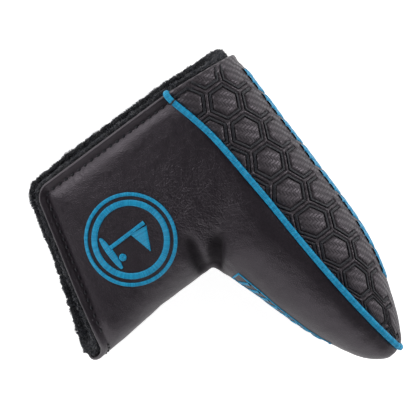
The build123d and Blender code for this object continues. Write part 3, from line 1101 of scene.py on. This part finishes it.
def tuft_density(p):
    depth = rim_distance(p)
    scale = 1.0
    return scale * (4.2 * (1 - ease(depth, 5, 14)) + 0.9 * (1 - ease(depth, 30, 60)))


TUFT_LENGTH, TUFT_WIDTH, TUFT_CLEARANCE = (0.8, 1.35), (0.18, 0.32), 2.6
TUFT_CURL, TUFT_SPREAD = 0.8, 0.2


def add_tufts(lining, leather_tree, seed):
    """Covers the fleece that can be seen with short bent tufts."""
    rng = np.random.default_rng(seed)
    places, normals = surface_samples(lining.data, tuft_density, rng)
    free = []
    for place, normal in zip(places, normals):
        hit = leather_tree.ray_cast(Vector(place), Vector(normal), TUFT_CLEARANCE)[0]
        free.append(hit is None)
    free = np.array(free)
    places, normals = places[free], normals[free]
    count = len(places)
    lean = np.column_stack([rough(places, 2.4, s) for s in (20.0, 21.0, 22.0)]) * TUFT_CURL
    lean += rng.normal(0, TUFT_SPREAD, (count, 3))
    middle = normals + 0.45 * lean
    end = normals * 0.8 + 1.15 * lean
    length = rng.uniform(*TUFT_LENGTH, count)[:, None]
    width = rng.uniform(*TUFT_WIDTH, count)[:, None]
    side = np.cross(normals, rng.normal(0, 1, (count, 3)))
    side /= np.linalg.norm(side, axis=1)[:, None]
    other = np.cross(normals, side)
    ring = [(cos(t), sin(t)) for t in (0, 2 * pi / 3, 4 * pi / 3)]
    root = [places - normals * 0.3 + width * (c * side + s * other) for c, s in ring]
    waist = [places + middle * length * 0.5 + 0.62 * width * (c * side + s * other) for c, s in ring]
    tip = [places + end * length]
    points = np.stack(root + waist + tip, axis=1).reshape(-1, 3)
    pattern = np.array([(0, 1, 4, 3), (1, 2, 5, 4), (2, 0, 3, 5)])
    top = np.array([(3, 4, 6), (4, 5, 6), (5, 3, 6)])
    starts = np.arange(count)[:, None, None] * 7
    faces = (pattern + starts).reshape(-1, 4).tolist() + (top + starts).reshape(-1, 3).tolist()
    tufts = new_object("tufts", points, faces)
    # tip rises from 0 at each tuft's root to 1 at its tip. The fleece material uses it to paint shade at
    # the roots and light on the tips.
    shade = np.tile([0.0, 0.0, 0.0, 0.55, 0.55, 0.55, 1.0], count)
    store_value(tufts, "tip", shade * np.repeat(rng.uniform(0.4, 1.0, count), 7))
    # The lining sheet under the tufts gets the same painted shade as the roots.
    store_value(lining, "tip", np.zeros(len(lining.data.vertices)))
    store_rest(tufts)
    store_rest(lining)
    return joined(lining.name, [lining, tufts])


# ---------------- materials
class Shader:
    """A Principled material whose patterns follow the rest attribute, in mm."""

    def __init__(self, name, roughness, **fixed):
        self.material = bpy.data.materials.new(name)
        self.material.use_nodes = True
        self.tree = self.material.node_tree
        self.surface = self.tree.nodes["Principled BSDF"]
        self.surface.inputs["Roughness"].default_value = roughness
        for socket, value in fixed.items():
            self.surface.inputs[socket.replace("_", " ")].default_value = value
        rest = self.node("ShaderNodeAttribute")
        rest.attribute_name = "rest"
        self.rest = rest.outputs["Vector"]
        apart = self.node("ShaderNodeSeparateXYZ", self.rest)
        self.x, self.y, self.z = apart.outputs

    def node(self, kind, *inputs, **settings):
        made = self.tree.nodes.new(kind)
        for name, value in settings.items():
            setattr(made, name, value)
        for socket, value in zip(made.inputs, inputs):
            self.plug(value, socket)
        return made

    def plug(self, value, socket):
        if isinstance(value, bpy.types.NodeSocket):
            self.tree.links.new(value, socket)
        elif value is not None:
            socket.default_value = value

    def math(self, operation, *inputs, clamp=False):
        return self.node("ShaderNodeMath", *inputs, operation=operation, use_clamp=clamp).outputs[0]

    def noise(self, scale, detail=2.0, vector=None):
        made = self.node("ShaderNodeTexNoise")
        self.plug(vector or self.rest, made.inputs["Vector"])
        made.inputs["Scale"].default_value = scale
        made.inputs["Detail"].default_value = detail
        return made.outputs["Fac"]

    def cells(self, scale):
        """Distance from the edges between cells, in cells."""
        made = self.node("ShaderNodeTexVoronoi", feature="DISTANCE_TO_EDGE")
        self.plug(self.rest, made.inputs["Vector"])
        made.inputs["Scale"].default_value = scale
        return made.outputs["Distance"]

    def between(self, share, low, high):
        made = self.node("ShaderNodeMapRange", share, clamp=True)
        made.inputs["To Min"].default_value = low
        made.inputs["To Max"].default_value = high
        return made.outputs[0]

    def mix(self, share, first, second):
        made = self.node("ShaderNodeMix", data_type="RGBA")
        self.plug(share, made.inputs["Factor"])
        self.plug(first, made.inputs[6])
        self.plug(second, made.inputs[7])
        return made.outputs[2]

    def bumps(self, height, depth_mm):
        made = self.node("ShaderNodeBump")
        made.inputs["Strength"].default_value = 1.0
        made.inputs["Distance"].default_value = depth_mm * MM
        self.plug(height, made.inputs["Height"])
        self.plug(made.outputs[0], self.surface.inputs["Normal"])

    def colour(self, value):
        self.plug(value, self.surface.inputs["Base Color"])

    def rough(self, value):
        self.plug(value, self.surface.inputs["Roughness"])


WORN_CENTRE = (46.0, -54.0, 24.0)
LEATHER_SHINE = (1.0, 0.9, 1.0, 1)


def black_leather():
    """Soft milled leather: rounded pebbles, wider creases where it is worn, slow changes of tone, and
    painted shade in the deep folds.
    """
    m = Shader("black_leather", 0.45, Specular_IOR_Level=0.5, Specular_Tint=LEATHER_SHINE)
    pebble = m.math("MINIMUM", m.cells(1.2), 0.3)
    fine = m.noise(2.6, 3.0)
    broad = m.noise(0.3, 3.0)
    away = m.node("ShaderNodeVectorMath", m.rest, WORN_CENTRE, operation="DISTANCE").outputs["Value"]
    worn_here = m.node("ShaderNodeMapRange", away, 34.0, 12.0, clamp=True).outputs[0]
    net = m.math("MULTIPLY", m.math("MINIMUM", m.cells(0.6), 0.2), worn_here)
    height = m.math("MULTIPLY_ADD", fine, 0.05, m.math("MULTIPLY", broad, 0.9))
    height = m.math("MULTIPLY_ADD", pebble, 0.9, height)
    m.bumps(m.math("MULTIPLY_ADD", net, 2.8, height), 0.2)
    tone = m.noise(0.045, 3.0)
    worn = m.mix(m.between(tone, 0.1, 0.9), (0.0105, 0.0072, 0.0108, 1), (0.0180, 0.0125, 0.0185, 1))
    pebble_share = m.math("MULTIPLY", pebble, 3.5, clamp=True)
    # Painted shade: along the folds the colour goes to near black, where the crease valleys lie in shade.
    # The folds are also made rougher.
    fold = m.node("ShaderNodeAttribute", attribute_name="fold").outputs["Fac"]
    crease_painted_shade = m.mix(fold, worn, (0.003, 0.0022, 0.0031, 1))
    m.colour(m.mix(pebble_share, (0.0065, 0.005, 0.0068, 1), crease_painted_shade))
    m.rough(m.math("MULTIPLY_ADD", fold, 0.5, m.between(m.noise(0.16, 3.0), 0.41, 0.5)))
    return m.material


TWILL_THREAD = 1.18


def sole_leather():
    """Coated leather pressed with a twill of flat tows, like woven carbon."""
    m = Shader("sole_twill_leather", 0.4, Specular_IOR_Level=0.45, Specular_Tint=LEATHER_SHINE)
    along, across = m.math("DIVIDE", m.x, TWILL_THREAD), m.math("DIVIDE", m.y, TWILL_THREAD)
    step = m.math("ADD", m.math("FLOOR", along), m.math("FLOOR", across))
    over = m.math("LESS_THAN", m.math("FLOORED_MODULO", step, 4.0), 2.0)
    crowns = []
    for place in (along, across):
        centred = m.math("MULTIPLY_ADD", m.math("FRACT", place), 2.0, -1.0)
        crowns.append(m.math("SUBTRACT", 1.0, m.math("POWER", m.math("ABSOLUTE", centred), 3.0)))
    warp = m.math("MULTIPLY", over, m.math("MULTIPLY_ADD", crowns[0], 0.5, 0.5))
    weft = m.math("MULTIPLY", m.math("SUBTRACT", 1.0, over), m.math("MULTIPLY", crowns[1], 0.45))
    weave = m.math("ADD", warp, weft)
    fine = m.noise(2.2, 3.0)
    m.bumps(m.math("MULTIPLY_ADD", fine, 0.4, weave), 0.22)
    dark, light = (0.0075, 0.0065, 0.008, 1), (0.062, 0.054, 0.061, 1)
    tow = m.mix(m.math("MULTIPLY", weave, m.between(fine, 0.7, 1.15), clamp=True), dark, light)
    m.colour(m.mix(m.between(m.noise(0.05, 2.0), 0.0, 0.3), tow, dark))
    m.rough(m.between(weave, 0.72, 0.38))
    return m.material


THREAD_PITCH = 0.45


def thread(name, deep, base, bright, sheen):
    """Fine rayon threads laid side by side along rest.x, every one slightly different."""
    m = Shader(name, 0.42, Specular_IOR_Level=0.3, Sheen_Weight=sheen, Sheen_Roughness=0.4)
    wobble = m.math("MULTIPLY_ADD", m.noise(0.9, 2.0), 0.9, m.math("DIVIDE", m.x, THREAD_PITCH))
    groove = m.math("ABSOLUTE", m.math("MULTIPLY_ADD", m.math("FRACT", wobble), 2.0, -1.0))
    crown = m.math("SUBTRACT", 1.0, m.math("POWER", groove, 2.5))
    each = m.node("ShaderNodeTexWhiteNoise", noise_dimensions="1D")
    m.plug(m.math("FLOOR", wobble), each.inputs["W"])
    m.bumps(m.math("MULTIPLY_ADD", m.noise(3.5, 2.0), 0.25, crown), 0.13)
    tone = m.mix(m.between(each.outputs["Value"], 0.0, 0.85), base, bright)
    m.colour(m.mix(m.between(crown, 0.15, 1.0), deep, tone))
    m.rough(m.between(m.noise(0.8), 0.36, 0.5))
    return m.material


def dark_thread():
    deep, base, bright = (0.0035, 0.0033, 0.0045, 1), (0.016, 0.016, 0.0215, 1), (0.032, 0.032, 0.042, 1)
    return thread("black_thread", deep, base, bright, 0.1)


def blue_thread():
    deep, base, bright = (0.001, 0.12, 0.25, 1), (0.002, 0.29, 0.56, 1), (0.014, 0.47, 0.8, 1)
    return thread("blue_thread", deep, base, bright, 0.05)


def fleece():
    """Dark pile, with painted shade at its roots and painted light that turns its tips grey."""
    m = Shader("fleece", 0.85, Sheen_Weight=0.35, Sheen_Roughness=0.5, Specular_IOR_Level=0.25)
    tip = m.node("ShaderNodeAttribute", attribute_name="tip").outputs["Fac"]
    patch = m.between(m.noise(0.35, 3.0), 0.5, 1.2)
    shade = m.math("MULTIPLY", m.math("POWER", tip, 1.3), patch, clamp=True)
    # Painted shade at the roots and painted light on the tips. patch varies it at random.
    m.colour(m.mix(shade, (0.005, 0.0055, 0.0085, 1), (0.05, 0.055, 0.082, 1)))
    m.bumps(m.noise(1.6, 4.0), 0.5)
    return m.material


def steel():
    m = Shader("magnet_steel", 0.3, Metallic=1.0)
    brushed = m.noise(400.0, 3.0, m.node("ShaderNodeTexCoord").outputs["Object"])
    m.colour(m.mix(brushed, (0.5, 0.5, 0.52, 1), (0.62, 0.62, 0.64, 1)))
    return m.material


def pouch_cloth():
    m = Shader("pouch_fabric", 0.9, Sheen_Weight=0.2)
    place = m.node("ShaderNodeTexCoord").outputs["Object"]
    weave = m.node("ShaderNodeTexChecker", place)
    weave.inputs["Scale"].default_value = 2500.0
    m.colour(m.mix(weave.outputs["Fac"], (0.03, 0.03, 0.034, 1), (0.05, 0.05, 0.056, 1)))
    m.bumps(weave.outputs["Fac"], 0.1)
    return m.material


# ---------------- the cover
LEATHER, SOLE, BLUE, BLACK, PILE = black_leather(), sole_leather(), blue_thread(), dark_thread(), fleece()


def on_body(obj, material, slot, *nodes):
    placed(obj, material)
    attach(obj, "body")
    if nodes:
        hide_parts(*nodes)
    return obj


def build_leather():
    """The front and rear leather, and ways to lay sewing on them."""
    skin = make_body_leather()
    drapes = [Draped(skin, side) for side in SIDES.values()]
    with_modifier(skin, "SOLIDIFY", thickness=LEATHER_SKIN, offset=-1.0)
    for half, (name, side) in zip(split_sides(skin, "leather"), SIDES.items()):
        flap = name + "_flap"
        placed(half, LEATHER)
        restore_shading(half)
        bend_with(half)
        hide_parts("body_leather", "body_padding", flap + "_leather", flap + "_padding")
    return drapes


def build_lining(drapes):
    lining = make_lining()
    for half, (name, side) in zip(split_sides(lining, "lining"), SIDES.items()):
        flap = name + "_flap"
        half.data.attributes.remove(half.data.attributes["shade"])
        half = add_tufts(half, drapes[0].tree, 5 + side)
        placed(half, PILE)
        bend_with(half)
        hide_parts("body_lining", "sole_lining", flap + "_lining")


def build_sewing(drapes):
    for drape, (name, side) in zip(drapes, SIDES.items()):
        piping, tack = make_piping(name, side)
        on_body(piping, BLUE, "blue_thread", name + "_seam_piping")
        on_body(tack, BLACK, "black_thread", "piping_bar_tack")
        stitches = placed(flap_stitches(name + "_stitches", drape, side), BLACK)
        bend_with(stitches)
        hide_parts(name + "_flap_stitches")
    on_body(fold_stitches(drapes[0]), BLACK, "black_thread", "neck_hem_stitches")
    on_body(sole_hem_stitches(), BLACK, "black_thread", "sole_hem_stitches")
    emblem = placed(make_emblem(drapes[0]), BLUE)
    bend_with(emblem)
    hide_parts("emblem_body_part", "emblem_flap_part")
    on_body(make_toe_bar(drapes[0]), BLUE, "blue_thread", "toe_bar_embroidery")
    on_body(make_ridge_stripes(), BLUE, "blue_thread", "ridge_stripe_embroidery")
    on_body(make_honeycomb(), BLACK, "black_thread")


def build_cover():
    drapes = build_leather()
    sole = on_body(make_sole_panel(), SOLE, "sole_twill_leather", "sole_panel", "sole_padding")
    build_lining(drapes)
    build_sewing(drapes)
    metal, cloth = steel(), pouch_cloth()
    for flap in ("front_flap", "rear_flap"):
        for node, material in (("_magnets", metal), ("_magnet_pouches", cloth)):
            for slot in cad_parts[flap + node].material_slots:
                slot.material = material


# ---------------- stage, light and camera
VIEW_TILT = radians(5.0)
TARGET = (48.0, -50.2, 0.0)
IMAGE_RIGHT = (0.604, 0.797)
FRAME_WIDTH, DISTANCE = 0.184, 1.8


def aimed(name, data, place, target, up=(0, 0, 1)):
    """A new camera or lamp at place that looks at target."""
    obj = bpy.data.objects.new(name, data)
    bpy.context.scene.collection.objects.link(obj)
    back = (place - target).normalized()
    right = Vector(up).cross(back).normalized()
    obj.matrix_world = Matrix((right, back.cross(right), back)).transposed().to_4x4()
    obj.location = place
    return obj


def picture_axes():
    """The picture's right and up, in the row frame."""
    right_x, right_y = IMAGE_RIGHT
    return row_direction(right_x, right_y, 0), row_direction(-right_y, right_x, 0)


def add_camera():
    data = bpy.data.cameras.new("camera")
    data.sensor_width = 36.0
    data.lens = data.sensor_width * DISTANCE / FRAME_WIDTH
    data.clip_end = 10.0
    target = row_point(*TARGET)
    back = row_direction(0, sin(VIEW_TILT), cos(VIEW_TILT))
    bpy.context.scene.camera = aimed("camera", data, target + back * DISTANCE, target, picture_axes()[1])


# Soft square lamps: direction along the picture's right, its up and out of it, distance, size and power
LIGHTS = {
    "key": ((-1.0, 0.75, 0.6), 1.1, 0.6, 9.0),
    "sole_light": ((1.0, 0.45, 0.35), 1.0, 0.5, 7.3),
    "low_rim": ((0.1, -1.0, 0.2), 1.0, 0.4, 1.8),
    "left_fill": ((-0.5, -1.0, 0.7), 1.1, 0.5, 3.2),
}
WORLD_LIGHT, PAPER = 0.11, 0.82


def add_light(name, direction, distance, size, power):
    right, up = picture_axes()
    way = (right * direction[0] + up * direction[1] + row_direction(0, 0, 1) * direction[2]).normalized()
    data = bpy.data.lights.new(name, "AREA")
    data.shape = "SQUARE"
    data.size = size
    data.energy = power
    target = row_point(*TARGET)
    aimed(name, data, target + way * distance, target)


def floor_material():
    """White paper: part of its white is its own, so that the object's shadow stays soft."""
    material = bpy.data.materials.new("floor_white")
    material.use_nodes = True
    tree = material.node_tree
    surface = tree.nodes["Principled BSDF"]
    surface.inputs["Base Color"].default_value = (PAPER, PAPER, PAPER, 1)
    surface.inputs["Roughness"].default_value = 1.0
    surface.inputs["Specular IOR Level"].default_value = 0.0
    surface.inputs["Emission Color"].default_value = (1, 1, 1, 1)
    path = tree.nodes.new("ShaderNodeLightPath")
    seen = tree.nodes.new("ShaderNodeMath")
    seen.operation = "MAXIMUM"
    tree.links.new(path.outputs["Is Camera Ray"], seen.inputs[0])
    tree.links.new(path.outputs["Is Glossy Ray"], seen.inputs[1])
    strength = tree.nodes.new("ShaderNodeMath")
    strength.operation = "MULTIPLY"
    strength.inputs[1].default_value = PAPER
    tree.links.new(seen.outputs[0], strength.inputs[0])
    tree.links.new(strength.outputs[0], surface.inputs["Emission Strength"])
    return material


def add_stage():
    half = 3.0
    corners = [(-half, -half, 0), (half, -half, 0), (half, half, 0), (-half, half, 0)]
    floor = new_object("floor", corners, [(0, 1, 2, 3)])
    floor.data.materials.append(floor_material())
    world = bpy.data.worlds.new("studio")
    bpy.context.scene.world = world
    world.use_nodes = True
    background = world.node_tree.nodes["Background"]
    background.inputs["Color"].default_value = (1, 1, 1, 1)
    background.inputs["Strength"].default_value = WORLD_LIGHT
    for name, settings in LIGHTS.items():
        add_light(name, *settings)
    bpy.context.scene.view_settings.view_transform = "Standard"


build_cover()
add_stage()
add_camera()
